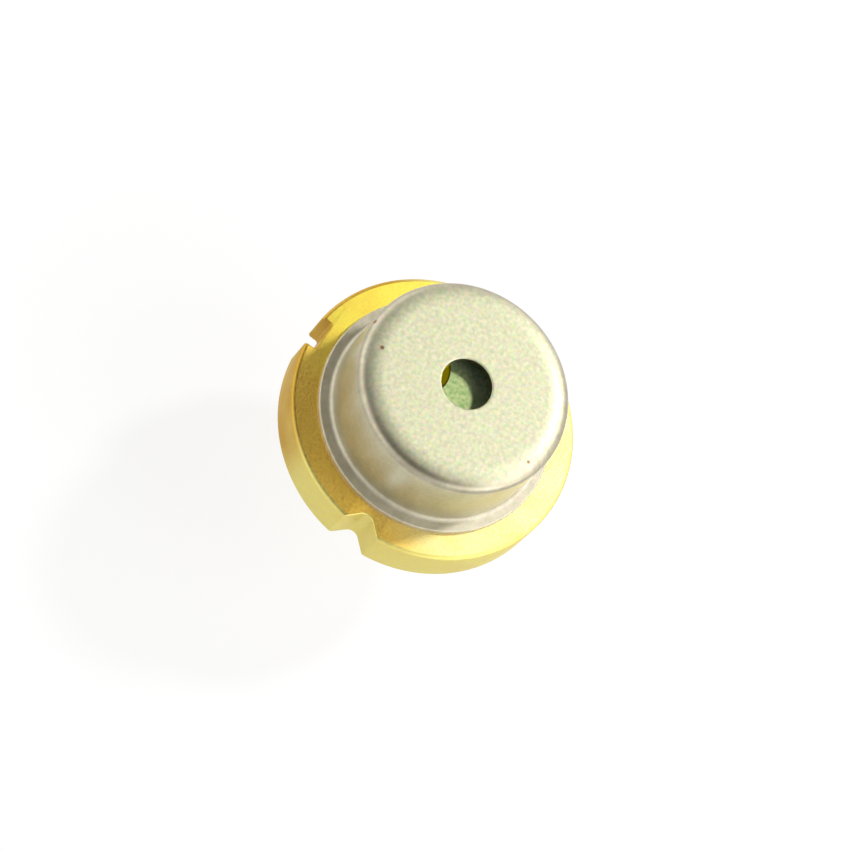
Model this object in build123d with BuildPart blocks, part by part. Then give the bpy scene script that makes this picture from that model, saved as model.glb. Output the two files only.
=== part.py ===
from build123d import *
import os
from math import sqrt

# Laser diode in a 9 mm round metal can, in millimetres.
# +Z is the optical axis, from the leads to the window.
# The origin is the centre of the flange face that the cap is welded to.
# The V-notches lie on the X axis and the square slot on -Y.

# Stem flange, a thick disc with locating notches in its rim
flange_diameter = 9.0
flange_thickness = 1.5
flange_edge_chamfer = 0.1
v_notch_width = 1.22
v_notch_root_radius = 0.3
slot_width = 1.0
slot_depth = 0.4
slot_corner_radius = 0.1

# Cap, drawn from one sheet, with a pierced top and a weld brim
cap_sheet = 0.2
cap_diameter = 6.6
cap_top_radius = 0.4
cap_foot_radius = 0.15
brim_land = 0.25
brim_edge_chamfer = 0.05
aperture_diameter = 1.58
aperture_edge_chamfer = 0.04

# Window glass under the cap's top, held by a ring of solder glass
window_seat = 1.0
window_thickness = 0.4
window_clearance = 0.1
seal_width = 0.35

# Leads and the glass beads that two of them pass through
lead_diameter = 0.45
lead_circle = 2.54
lead_length = 5.0
lead_tip_chamfer = 0.06
laser_post_height = 1.1
monitor_post_height = 0.6
bond_flat_cut = 0.08
bond_flat_foot = 0.4
weld_head_diameter = 0.8
weld_head_height = 0.12
weld_head_chamfer = 0.04
bead_wall = 0.3
bead_recess = 0.05

# Heat-sink block and the chips
block_height = 2.16
block_depth = 1.4
block_shoulder = 0.35
block_edge_radius = 0.08
block_back_radius = 0.45
block_top_chamfer = 0.06
submount_width = 0.8
submount_thickness = 0.3
submount_tail = 0.15
chip_width = 0.3
chip_thickness = 0.12
chip_length = 0.75
photodiode_side = 0.8
photodiode_thickness = 0.25
photodiode_gap = 0.06

# Bond wires
wire_diameter = 0.05
wire_sides = 6
wire_loop = 0.3
bond_diameter = 0.13
bond_height = 0.05

# Places that follow from the sizes above
flange_radius = flange_diameter / 2
v_notch_root = sqrt(flange_radius**2 - (v_notch_width / 2) ** 2) - v_notch_width / 2
cap_radius = cap_diameter / 2
cap_inner_radius = cap_radius - cap_sheet
bend_flat = 2 - sqrt(2)
cap_ceiling = block_height + window_clearance + window_thickness
cap_height = cap_ceiling + cap_sheet
brim_radius = cap_radius + cap_foot_radius + brim_land
aperture_radius = aperture_diameter / 2
window_radius = aperture_radius + window_seat
lead_radius = lead_diameter / 2
lead_offset = lead_circle / 2
bead_radius = lead_radius + bead_wall
lead_tip = -flange_thickness - lead_length
submount_face = -chip_thickness / 2
block_face = submount_face - submount_thickness
block_width = submount_width + 2 * block_shoulder
submount_length = chip_length + submount_tail
bond_flat = lead_radius - bond_flat_cut

os.makedirs("parts", exist_ok=True)

# Stem flange
with BuildPart() as stem_flange:
    with BuildSketch():
        Circle(flange_radius)
    extrude(amount=-flange_thickness)
    chamfer(stem_flange.edges().filter_by(GeomType.CIRCLE), flange_edge_chamfer)
    with BuildSketch() as notches:
        with PolarLocations(v_notch_root, 2):
            Polygon((0, 0), (v_notch_width, -v_notch_width), (v_notch_width, v_notch_width), align=None)
        fillet(notches.vertices().group_by(SortBy.DISTANCE)[0], v_notch_root_radius)
        with Locations((0, -flange_radius)):
            Rectangle(slot_width, 2 * slot_depth)
        fillet(notches.vertices().group_by(Axis.Y)[1], slot_corner_radius)
    extrude(amount=-flange_thickness, mode=Mode.SUBTRACT)
    with Locations((lead_offset, 0), (-lead_offset, 0)):
        Hole(bead_radius)
stem_flange.part.label = "stem_flange"
export_step(stem_flange.part, "parts/stem_flange.step")

# Cap shell, one sheet turned out at the foot and over at the top
# Its inner bends are flats that leave the sheet's own thickness in the bend
with BuildPart() as cap_shell:
    with BuildSketch(Plane.XZ) as cap_section:
        with BuildLine():
            Polyline(
                (aperture_radius, cap_height),
                (cap_radius, cap_height),
                (cap_radius, cap_sheet),
                (brim_radius, cap_sheet),
                (brim_radius, 0),
                (cap_inner_radius, 0),
                (cap_inner_radius, cap_ceiling),
                (aperture_radius, cap_ceiling),
                close=True,
            )
        make_face()
        outer_bends = (
            ((cap_radius, cap_height), cap_top_radius),
            ((cap_radius, cap_sheet), cap_foot_radius),
        )
        for corner, radius in outer_bends:
            fillet(cap_section.vertices().sort_by_distance(corner)[0], radius)
        flat_corners = (
            ((cap_inner_radius, cap_ceiling), bend_flat * (cap_top_radius - cap_sheet)),
            ((cap_inner_radius, 0), bend_flat * (cap_foot_radius + cap_sheet)),
            ((aperture_radius, cap_height), aperture_edge_chamfer),
            ((brim_radius, cap_sheet), brim_edge_chamfer),
        )
        for corner, length in flat_corners:
            chamfer(cap_section.vertices().sort_by_distance(corner)[0], length)
    revolve(axis=Axis.Z)
cap_shell.part.label = "cap_shell"
export_step(cap_shell.part, "parts/cap_shell.step")

# Window glass, a flat disc against the cap's ceiling
with BuildPart() as window_glass:
    with BuildSketch(Plane.XY.offset(cap_ceiling)):
        Circle(window_radius)
    extrude(amount=-window_thickness)
window_glass.part.label = "window_glass"
export_step(window_glass.part, "parts/window_glass.step")

# Solder-glass ring with a sloping side, in the corner between the ceiling and the window's edge
with BuildPart() as window_seal_ring:
    with BuildSketch(Plane.XZ):
        with BuildLine():
            seal_foot = (window_radius, cap_ceiling - window_thickness)
            seal_rim = (window_radius + seal_width, cap_ceiling)
            Polyline(seal_foot, (window_radius, cap_ceiling), seal_rim)
            Line(seal_rim, seal_foot)
        make_face()
    revolve(axis=Axis.Z)
window_seal_ring.part.label = "window_seal_ring"
export_step(window_seal_ring.part, "parts/window_seal_ring.step")

# Laser lead, with a flat coined on the post for its bond wire
with BuildPart() as laser_lead:
    with BuildSketch(Plane.XY.offset(lead_tip)):
        with Locations((lead_offset, 0)):
            Circle(lead_radius)
    extrude(amount=laser_post_height - lead_tip)
    chamfer(laser_lead.edges().group_by(Axis.Z)[0], lead_tip_chamfer)
    with BuildSketch(Plane.XY.offset(bond_flat_foot)):
        with Locations((lead_offset, bond_flat)):
            Rectangle(lead_diameter, lead_diameter, align=(Align.CENTER, Align.MIN))
    extrude(amount=laser_post_height - bond_flat_foot, mode=Mode.SUBTRACT)
laser_lead.part.label = "laser_lead"
export_step(laser_lead.part, "parts/laser_lead.step")

# Monitor lead, bonded on the end of its post
with BuildPart() as monitor_lead:
    with BuildSketch(Plane.XY.offset(lead_tip)):
        with Locations((-lead_offset, 0)):
            Circle(lead_radius)
    extrude(amount=monitor_post_height - lead_tip)
    chamfer(monitor_lead.edges().group_by(Axis.Z)[0], lead_tip_chamfer)
monitor_lead.part.label = "monitor_lead"
export_step(monitor_lead.part, "parts/monitor_lead.step")

# Case lead, with a flat head welded to the back of the flange
with BuildPart() as case_lead:
    with BuildSketch(Plane.XY.offset(-flange_thickness)):
        with Locations((0, -lead_offset)):
            Circle(weld_head_diameter / 2)
    extrude(amount=-weld_head_height)
    chamfer(case_lead.edges().group_by(Axis.Z)[0], weld_head_chamfer)
    with BuildSketch(Plane.XY.offset(lead_tip)):
        with Locations((0, -lead_offset)):
            Circle(lead_radius)
    extrude(amount=lead_length)
    chamfer(case_lead.edges().group_by(Axis.Z)[0], lead_tip_chamfer)
case_lead.part.label = "case_lead"
export_step(case_lead.part, "parts/case_lead.step")


def make_lead_glass(offset: float) -> BuildPart:
    """Glass bead between a lead and its hole in the flange, a little short of both faces."""
    with BuildPart() as bead:
        with BuildSketch(Plane.XY.offset(-bead_recess)):
            with Locations((offset, 0)):
                Circle(bead_radius)
                Circle(lead_radius, mode=Mode.SUBTRACT)
        extrude(amount=2 * bead_recess - flange_thickness)
    return bead


laser_lead_glass = make_lead_glass(lead_offset)
laser_lead_glass.part.label = "laser_lead_glass"
export_step(laser_lead_glass.part, "parts/laser_lead_glass.step")

monitor_lead_glass = make_lead_glass(-lead_offset)
monitor_lead_glass.part.label = "monitor_lead_glass"
export_step(monitor_lead_glass.part, "parts/monitor_lead_glass.step")

# Heat-sink block, brazed on the flange with its rounded back to the slot
with BuildPart() as heatsink_block:
    with BuildSketch() as block_section:
        with Locations((0, block_face)):
            Rectangle(block_width, block_depth, align=(Align.CENTER, Align.MAX))
        fillet(block_section.vertices().group_by(Axis.Y)[0], block_back_radius)
        fillet(block_section.vertices().group_by(Axis.Y)[-1], block_edge_radius)
    extrude(amount=block_height)
    top_rim = heatsink_block.edges().group_by(Axis.Z)[-1]
    chamfer(top_rim.sort_by(Axis.Y)[:-1], block_top_chamfer)
heatsink_block.part.label = "heatsink_block"
export_step(heatsink_block.part, "parts/heatsink_block.step")

# Submount, a ceramic tile with its front edge level with the top of the block
with BuildPart() as submount:
    with BuildSketch(Plane.XY.offset(block_height)):
        with Locations((0, block_face)):
            Rectangle(submount_width, submount_thickness, align=(Align.CENTER, Align.MIN))
    extrude(amount=-submount_length)
submount.part.label = "submount"
export_step(submount.part, "parts/submount.step")

# Laser chip, centred on the optical axis
with BuildPart() as laser_chip:
    with BuildSketch(Plane.XY.offset(block_height)):
        Rectangle(chip_width, chip_thickness)
    extrude(amount=-chip_length)
laser_chip.part.label = "laser_chip"
export_step(laser_chip.part, "parts/laser_chip.step")

# Monitor photodiode, on the flange below the chip's rear face
photodiode_middle = submount_face + photodiode_gap + photodiode_side / 2
with BuildPart() as monitor_photodiode:
    with BuildSketch():
        with Locations((0, photodiode_middle)):
            Rectangle(photodiode_side, photodiode_side)
    extrude(amount=photodiode_thickness)
monitor_photodiode.part.label = "monitor_photodiode"
export_step(monitor_photodiode.part, "parts/monitor_photodiode.step")


def make_bond_wire(start: Vector, end: Vector, outward: Vector) -> BuildPart:
    """Gold wire that loops outward from one bond to another, each a flattened ball on its face."""
    rise = outward * bond_height
    crown = (start + end) / 2 + rise + outward * wire_loop
    with BuildPart() as wire:
        with BuildLine() as loop:
            ThreePointArc(start + rise, crown, end + rise)
        with BuildSketch(Plane(origin=start + rise, z_dir=loop.line % 0)):
            RegularPolygon(wire_diameter / 2, wire_sides)
        sweep(path=loop.line)
        for foot in (start, end):
            with BuildSketch(Plane(origin=foot, z_dir=outward)):
                Circle(bond_diameter / 2)
            extrude(amount=bond_height)
    return wire


facing_front = Vector(0, 1, 0)
facing_up = Vector(0, 0, 1)

chip_bond = Vector(0, chip_thickness / 2, block_height - chip_length / 2)
post_bond = Vector(lead_offset, bond_flat, (bond_flat_foot + laser_post_height) / 2)
laser_bond_wire = make_bond_wire(chip_bond, post_bond, facing_front)
laser_bond_wire.part.label = "laser_bond_wire"
export_step(laser_bond_wire.part, "parts/laser_bond_wire.step")

tile_border = (submount_width - chip_width) / 2
tile_bond = Vector(-(chip_width + tile_border) / 2, submount_face, block_height - submount_length / 2)
shoulder_flat = block_shoulder - block_edge_radius
block_bond = Vector(-(submount_width + shoulder_flat) / 2, block_face, block_height - submount_length / 2)
submount_bond_wire = make_bond_wire(tile_bond, block_bond, facing_front)
submount_bond_wire.part.label = "submount_bond_wire"
export_step(submount_bond_wire.part, "parts/submount_bond_wire.step")

photodiode_bond = Vector(-photodiode_side / 4, photodiode_middle, photodiode_thickness)
monitor_bond = Vector(-lead_offset, 0, monitor_post_height)
photodiode_bond_wire = make_bond_wire(photodiode_bond, monitor_bond, facing_up)
photodiode_bond_wire.part.label = "photodiode_bond_wire"
export_step(photodiode_bond_wire.part, "parts/photodiode_bond_wire.step")
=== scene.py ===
"""Looks of a can-type laser diode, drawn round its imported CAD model.

Lengths are millimetres in the CAD frame and become metres only where a mesh, a lamp or the camera
is made. The origin is the centre of the flange face that carries the cap, +Z is the optical axis,
the V-notches lie on X and the square slot on -Y.
"""

import logging
import math
from dataclasses import dataclass, field
from enum import Enum, IntEnum
from typing import Iterable, Sequence

import bpy
from mathutils import Matrix, Vector
from mathutils.geometry import tessellate_polygon


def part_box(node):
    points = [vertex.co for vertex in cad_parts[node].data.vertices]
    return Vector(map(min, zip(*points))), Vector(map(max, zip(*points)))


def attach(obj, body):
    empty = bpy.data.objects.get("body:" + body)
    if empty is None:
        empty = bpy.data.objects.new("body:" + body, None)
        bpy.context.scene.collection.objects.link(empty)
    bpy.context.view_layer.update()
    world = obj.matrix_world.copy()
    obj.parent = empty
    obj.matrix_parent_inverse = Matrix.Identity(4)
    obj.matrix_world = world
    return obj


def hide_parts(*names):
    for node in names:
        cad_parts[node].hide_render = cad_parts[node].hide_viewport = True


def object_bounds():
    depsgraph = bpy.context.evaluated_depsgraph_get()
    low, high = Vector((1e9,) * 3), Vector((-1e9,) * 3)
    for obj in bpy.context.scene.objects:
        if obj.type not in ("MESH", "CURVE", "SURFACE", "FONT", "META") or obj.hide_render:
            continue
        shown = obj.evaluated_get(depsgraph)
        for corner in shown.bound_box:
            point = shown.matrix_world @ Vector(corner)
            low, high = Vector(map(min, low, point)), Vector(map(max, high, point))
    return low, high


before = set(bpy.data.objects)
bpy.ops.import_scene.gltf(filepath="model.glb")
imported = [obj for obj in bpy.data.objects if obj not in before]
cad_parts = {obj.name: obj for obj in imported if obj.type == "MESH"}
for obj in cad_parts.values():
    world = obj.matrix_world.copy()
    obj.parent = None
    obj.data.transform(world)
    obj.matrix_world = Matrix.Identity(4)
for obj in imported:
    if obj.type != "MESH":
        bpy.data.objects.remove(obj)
cad_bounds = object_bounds()

MM = 0.001
BODY = "root"
log = logging.getLogger("laser_diode")

# An edge that turns by more than this is drawn sharp
SHARP_DEG = 32.0

Point = tuple[float, float]
Profile = list[Point]
Place = tuple[float, float, float]
Tree = bpy.types.NodeTree
Node = bpy.types.Node
Settings = dict[str | int, object]
Links = dict[str | int, Node | bpy.types.NodeSocket]

# Settings that many nodes share
COLOURS: Settings = {"data_type": "RGBA"}
SOFT_LIGHT: Settings = {"data_type": "RGBA", "blend_type": "SOFT_LIGHT"}
SMOOTH: Settings = {"interpolation_type": "SMOOTHSTEP"}

# Most of a noise pattern's values lie in this span
MOST_NOISE: Settings = {"From Min": 0.3, "From Max": 0.7}


class Slot(Enum):
    """The record's material slots, one named for each piece."""

    FLANGE = "gold_plated_steel"
    CAP = "drawn_nickel"
    WINDOW = "coated_glass"
    SEAL = "solder_glass"
    LEAD = "gold_plated_lead"
    BEAD = "bead_glass"
    BLOCK = "gold_plated_copper"
    SUBMOUNT = "metallised_ceramic"
    LASER = "laser_die"
    PHOTODIODE = "silicon_die"
    WIRE = "gold_wire"


class Mix(IntEnum):
    """Sockets of a mix node: its share, and what it mixes from and to, as values or as colours."""

    SHARE = 0
    FROM_VALUE = 2
    TO_VALUE = 3
    FROM = 6
    TO = 7


def linear(hex_colour: str) -> tuple[float, float, float, float]:
    """Turns an sRGB hex colour into Blender's linear colour.

    Args:
        hex_colour: Six hex digits after a hash sign.

    Returns:
        Red, green, blue and an alpha of 1.
    """
    shares = [int(hex_colour[i:i + 2], 16) / 255 for i in (1, 3, 5)]
    red, green, blue = (s / 12.92 if s <= 0.04045 else ((s + 0.055) / 1.055) ** 2.4 for s in shares)
    return red, green, blue, 1.0


def bare_tree(owner: bpy.types.Material | bpy.types.World) -> Tree:
    """Gives a material or a world an empty node tree.

    Args:
        owner: The material or world.

    Returns:
        Its tree.
    """
    owner.use_nodes = True
    owner.node_tree.nodes.clear()
    return owner.node_tree


def add_node(tree: Tree, kind: str, settings: Settings | None = None, links: Links | None = None) -> Node:
    """Adds one shader node with its settings and links.

    Args:
        tree: The tree that takes the node.
        kind: The node's type name after "ShaderNode".
        settings: Attributes of the node, and values of its input sockets by name or number.
        links: What feeds its input sockets: an output socket, or a node whose first output in use does.

    Returns:
        The new node.
    """
    node = tree.nodes.new("ShaderNode" + kind)
    values = dict(settings or {})
    for key in [k for k in values if isinstance(k, str) and hasattr(node, k)]:
        setattr(node, key, values.pop(key))
    for key, value in values.items():
        node.inputs[key].default_value = value
    for key, source in (links or {}).items():
        if isinstance(source, Node):
            source = next(socket for socket in source.outputs if socket.enabled)
        tree.links.new(source, node.inputs[key])
    return node


def arc(centre: Point, radius: float, start_deg: float, end_deg: float, steps: int) -> Profile:
    """Points on a circular arc in a plane, both ends included.

    Args:
        centre: The arc's centre.
        radius: Its radius.
        start_deg: The angle of the first point.
        end_deg: The angle of the last point.
        steps: How many chords the arc has.

    Returns:
        The points in order.
    """
    turns = [math.radians(start_deg + (end_deg - start_deg) * i / steps) for i in range(steps + 1)]
    return [(centre[0] + radius * math.cos(t), centre[1] + radius * math.sin(t)) for t in turns]


def circle(centre: Point, radius: float, sides: int) -> Profile:
    """Returns the corners of a circle drawn with so many sides, anticlockwise."""
    return arc(centre, radius, 0, 360, sides)[:-1]


def rounded_rectangle(
    left: float,
    right: float,
    front: float,
    back: float,
    front_radius: float,
    back_radius: float,
    steps: int,
) -> Profile:
    """Outline of a rectangle with rounded corners, anticlockwise.

    Args:
        left: Lowest x.
        right: Highest x.
        front: Lowest y.
        back: Highest y.
        front_radius: Radius of the two corners at the lowest y.
        back_radius: Radius of the two corners at the highest y.
        steps: Chords in each corner.

    Returns:
        The outline's points.
    """
    corners = (
        (left + front_radius, front + front_radius, front_radius, 180),
        (right - front_radius, front + front_radius, front_radius, 270),
        (right - back_radius, back - back_radius, back_radius, 0),
        (left + back_radius, back - back_radius, back_radius, 90),
    )
    return [p for x, y, radius, start in corners for p in arc((x, y), radius, start, start + 90, steps)]


@dataclass(frozen=True)
class NodeBox:
    """The box round a CAD node, in millimetres."""

    low: Vector
    high: Vector

    @property
    def middle(self) -> Vector:
        """The middle of the box."""
        return (self.low + self.high) / 2

    @property
    def radius(self) -> float:
        """Half the box's width, the radius of a round piece."""
        return (self.high.x - self.low.x) / 2


def box_mm(node: str) -> NodeBox:
    """Returns the box round a CAD node, in millimetres."""
    low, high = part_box(node)
    return NodeBox(low / MM, high / MM)


@dataclass
class MeshDraft:
    """Points and faces of one piece, gathered in millimetres before they become a mesh."""

    points: list[Vector] = field(default_factory=list)
    faces: list[tuple[int, ...]] = field(default_factory=list)
    finishes: list[int] = field(default_factory=list)
    place: Matrix = field(default_factory=lambda: Matrix.Identity(4))

    def ring(self, places: Iterable[Sequence[float]]) -> list[int]:
        """Adds points, set by the draft's place.

        Args:
            places: The points, before the draft's place moves them.

        Returns:
            The points' numbers in order.
        """
        first = len(self.points)
        self.points += [self.place @ Vector(p) for p in places]
        return list(range(first, len(self.points)))

    def face(self, corners: Sequence[int], finish: int = 0) -> None:
        """Adds one face with the number of its finish."""
        self.faces.append(tuple(corners))
        self.finishes.append(finish)

    def bridge(self, below: list[int], above: list[int], finish: int = 0) -> None:
        """Joins two rings of equal count, of which either may also be a single point.

        Args:
            below: The ring that comes first as the surface is followed with its outside on the right.
            above: The next ring.
            finish: The number of the faces' finish.
        """
        count = max(len(below), len(above))
        for i in range(count):
            j = (i + 1) % count
            corners = ((below, i), (below, j), (above, j), (above, i))
            self.face(list(dict.fromkeys(ring[k % len(ring)] for ring, k in corners)), finish)

    def cover(self, rings: list[list[int]], upward: bool, finish: int = 0) -> None:
        """Closes a flat outline, less its holes, with triangles.

        Args:
            rings: The outline's ring and then the rings of its holes.
            upward: Whether the outside is the side that the ring runs anticlockwise on.
            finish: The number of the faces' finish.
        """
        numbers = [n for ring in rings for n in ring]
        outline = [self.points[n] for n in rings[0]]
        facing = sum((a.cross(b) for a, b in zip(outline, outline[1:] + outline[:1])), Vector())
        for triangle in tessellate_polygon([[self.points[n] for n in ring] for ring in rings]):
            a, b, c = (numbers[i] for i in triangle)
            normal = (self.points[b] - self.points[a]).cross(self.points[c] - self.points[a])
            along = normal.dot(facing) > 0
            self.face((a, b, c) if along == upward else (a, c, b), finish)

    def skin(self, rings: list[list[int]], finish: int = 0) -> None:
        """Joins rings of equal count, from the lowest up, into a closed solid with flat ends.

        Args:
            rings: The rings.
            finish: The number of the faces' finish.
        """
        for below, above in zip(rings, rings[1:]):
            self.bridge(below, above, finish)
        self.cover(rings[:1], False, finish)
        self.cover(rings[-1:], True, finish)

    def turn(
        self,
        profile: Profile,
        segments: int,
        closed: bool = False,
        other_spans: dict[int, int] | None = None,
    ) -> None:
        """Turns a profile round the draft's own Z axis.

        Args:
            profile: Radius and height of each point, anticlockwise with the radius to the right.
            segments: How many sides the turned piece has.
            closed: Whether the last point joins the first, as in a ring's section.
            other_spans: Finish numbers of the profile's spans that don't have the first finish.
        """
        spokes = circle((0, 0), 1, segments)
        rings = []
        for radius, height in profile:
            around = spokes if radius else [(0.0, 0.0)]
            rings.append(self.ring((radius * x, radius * y, height) for x, y in around))
        followers = rings[1:] + rings[:1] if closed else rings[1:]
        for span, (below, above) in enumerate(zip(rings, followers)):
            self.bridge(below, above, (other_spans or {}).get(span, 0))

    def stack(self, levels: list[tuple[float, Profile]], finish: int = 0) -> None:
        """Stacks outlines of equal count into a closed solid.

        Args:
            levels: Height and anticlockwise outline of each level, from the lowest up.
            finish: The number of the faces' finish.
        """
        self.skin([self.ring((x, y, height) for x, y in outline) for height, outline in levels], finish)

    def tile(self, low: Vector, high: Vector, bevel: float, finish: int = 0) -> None:
        """Adds a flat block with broken edges.

        Args:
            low: Its lowest corner.
            high: Its highest corner.
            bevel: How much of each edge is broken.
            finish: The number of the faces' finish.
        """
        levels = []
        for height, inset in ((low.z, bevel), (low.z + bevel, 0), (high.z - bevel, 0), (high.z, bevel)):
            sides = (low.x + inset, high.x - inset, low.y + inset, high.y - inset)
            levels.append((height, rounded_rectangle(*sides, bevel, bevel, 1)))
        self.stack(levels, finish)

    def piece(self, name: str) -> bpy.types.Object:
        """Makes the mesh object and links it to the scene.

        Args:
            name: The piece's name.

        Returns:
            The object.
        """
        mesh = bpy.data.meshes.new(name)
        mesh.from_pydata([p * MM for p in self.points], [], self.faces)
        mesh.polygons.foreach_set("material_index", self.finishes)
        mesh.polygons.foreach_set("use_smooth", [True] * len(self.faces))
        mesh.validate()
        mesh.set_sharp_from_angle(angle=math.radians(SHARP_DEG))
        made = bpy.data.objects.new(name, mesh)
        bpy.context.scene.collection.objects.link(made)
        return made


@dataclass(frozen=True)
class Grain:
    """A noise pattern: the size of its marks in millimetres, and how many finer layers it has."""

    size_mm: float
    layers: float = 3.0

    @property
    def settings(self) -> Settings:
        """Settings of the noise node that draws the pattern."""
        return {"Scale": 1 / self.size_mm, "Detail": self.layers}


@dataclass(frozen=True)
class Finish:
    """A surface finish. It makes its node material on first use and shares it after that."""

    name: str
    colour: str
    metallic: float
    roughness: float
    ior: float | None = None
    coat: float = 0.0
    coat_roughness: float = 0.03

    def material(self) -> bpy.types.Material:
        """Makes the material on first use.

        Returns:
            The finish's material.
        """
        made = bpy.data.materials.get(self.name)
        if made is None:
            made = bpy.data.materials.new(self.name)
            tree = bare_tree(made)
            where = add_node(tree, "TexCoord").outputs["Object"]
            place = add_node(tree, "VectorMath", {"operation": "SCALE", "Scale": 1 / MM}, {0: where})
            shader = add_node(tree, "BsdfPrincipled", self.constants(), self.dress(tree, place))
            add_node(tree, "OutputMaterial", links={"Surface": shader})
        return made

    def constants(self) -> Settings:
        """Gathers what is the same all over the surface.

        Returns:
            Values of the shader's own sockets, where a metal keeps the default IOR.
        """
        same: Settings = {
            "Base Color": linear(self.colour),
            "Metallic": self.metallic,
            "Roughness": self.roughness,
            "Coat Weight": self.coat,
            "Coat Roughness": self.coat_roughness,
        }
        return same if self.ior is None else {**same, "IOR": self.ior}

    def swing(self, by: float) -> Settings:
        """Returns the range in which the roughness follows a noise pattern, by so much either way."""
        return {**MOST_NOISE, "To Min": self.roughness - by, "To Max": self.roughness + by}

    def dress(self, tree: Tree, place: Node) -> Links:
        """Adds the nodes that vary the surface.

        Args:
            tree: The material's tree.
            place: The node that gives the place on the piece, in millimetres of the CAD frame.

        Returns:
            What feeds the shader's sockets.
        """
        raise NotImplementedError


# Gold electroplate gives the eye a warm satin yellow that turns pale in the lamp and brown in shade. Part
# of that is painted into the colour: paler towards +Y as painted glare, darker towards -Y as painted shade,
# and browner on the side where the cap's shadow falls as a painted shadow.
# Its grain is about 0.01 mm, too fine for the render, so it is drawn several times coarser.
@dataclass(frozen=True)
class PlatedGold(Finish):
    """Electroplated gold on a stamped, sheared, drawn or machined metal."""

    name: str = "gold_plate_on_stamped_steel"
    colour: str = "#ffef8c"
    metallic: float = 1.0
    roughness: float = 0.56
    roughness_swing: float = 0.1
    # Painted glare and shade: the colour pales towards +Y, where the lamp's glare falls, and darkens
    # towards -Y
    painted_dim_colour: str = "#f7e35f"
    painted_dim_from: float = 1.5
    painted_dim_to: float = -3.2
    # Painted shadow: the gold browns along this way, on the side where the cap's shadow falls
    painted_shadow_colour: str = "#ffd96a"
    painted_shadow_way: Place = (0.85, -0.53, 0.0)
    painted_shadow_from: float = 1.4
    painted_shadow_to: float = 3.6
    painted_shadow_share: float = 0.0
    thin_colour: str = "#f0c452"
    thin_from: float = 0.42
    thin_to: float = 0.75
    thin_share: float = 0.5
    patch: Grain = Grain(1.3, 4.0)
    grain: Grain = Grain(0.07)
    grain_height_mm: float = 0.0035
    fleck: float = 0.6
    fleck_blue: float = 0.5

    def dress(self, tree: Tree, place: Node) -> Links:
        """Adds plating grain, painted glare and shadow, and redder patches where the plate is thinner.

        Args:
            tree: The material's tree.
            place: The node that gives the place on the piece, in millimetres.

        Returns:
            What feeds the shader's colour, roughness and normal.
        """
        grain, patch = (
            add_node(tree, "TexNoise", pattern.settings, {"Vector": place})
            for pattern in (self.grain, self.patch)
        )
        along = add_node(tree, "SeparateXYZ", links={0: place}).outputs["Y"]
        across = add_node(tree, "VectorMath", {"operation": "DOT_PRODUCT", 1: self.painted_shadow_way}, {0: place})
        # Painted glare and shade along Y: pale towards +Y, darker towards -Y
        painted_dimming = {**SMOOTH, "From Min": self.painted_dim_from, "From Max": self.painted_dim_to}
        painted_dim = add_node(tree, "MapRange", painted_dimming, {"Value": along})
        painted_shadowing = {
            # Painted shadow: browner gold where the cap's shadow falls on the flange
            **SMOOTH,
            "From Min": self.painted_shadow_from,
            "From Max": self.painted_shadow_to,
            "To Max": self.painted_shadow_share,
        }
        side = add_node(tree, "MapRange", painted_shadowing, {"Value": across})
        thinning = {"From Min": self.thin_from, "From Max": self.thin_to, "To Max": self.thin_share}
        thin = add_node(tree, "MapRange", thinning, {"Value": patch})
        plate = {**COLOURS, Mix.FROM: linear(self.colour), Mix.TO: linear(self.painted_dim_colour)}
        tint = add_node(tree, "Mix", plate, {Mix.SHARE: painted_dim})
        for share, colour in ((side, self.painted_shadow_colour), (thin, self.thin_colour)):
            paint = {**COLOURS, Mix.TO: linear(colour)}
            tint = add_node(tree, "Mix", paint, {Mix.SHARE: share, Mix.FROM: tint})
        warm = add_node(tree, "CombineColor", {"Blue": self.fleck_blue}, {"Red": grain, "Green": grain})
        tint = add_node(tree, "Mix", {**SOFT_LIGHT, Mix.SHARE: self.fleck}, {Mix.FROM: tint, Mix.TO: warm})
        rough = add_node(tree, "MapRange", self.swing(self.roughness_swing), {"Value": grain})
        bump = add_node(tree, "Bump", {"Distance": self.grain_height_mm * MM}, {"Height": grain})
        return {"Base Color": tint, "Roughness": rough, "Normal": bump}


@dataclass(frozen=True)
class DirtSpeck:
    """A speck of brown dirt on the cap: where its middle is, and how far it reaches."""

    middle: Place
    radius: float


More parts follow.
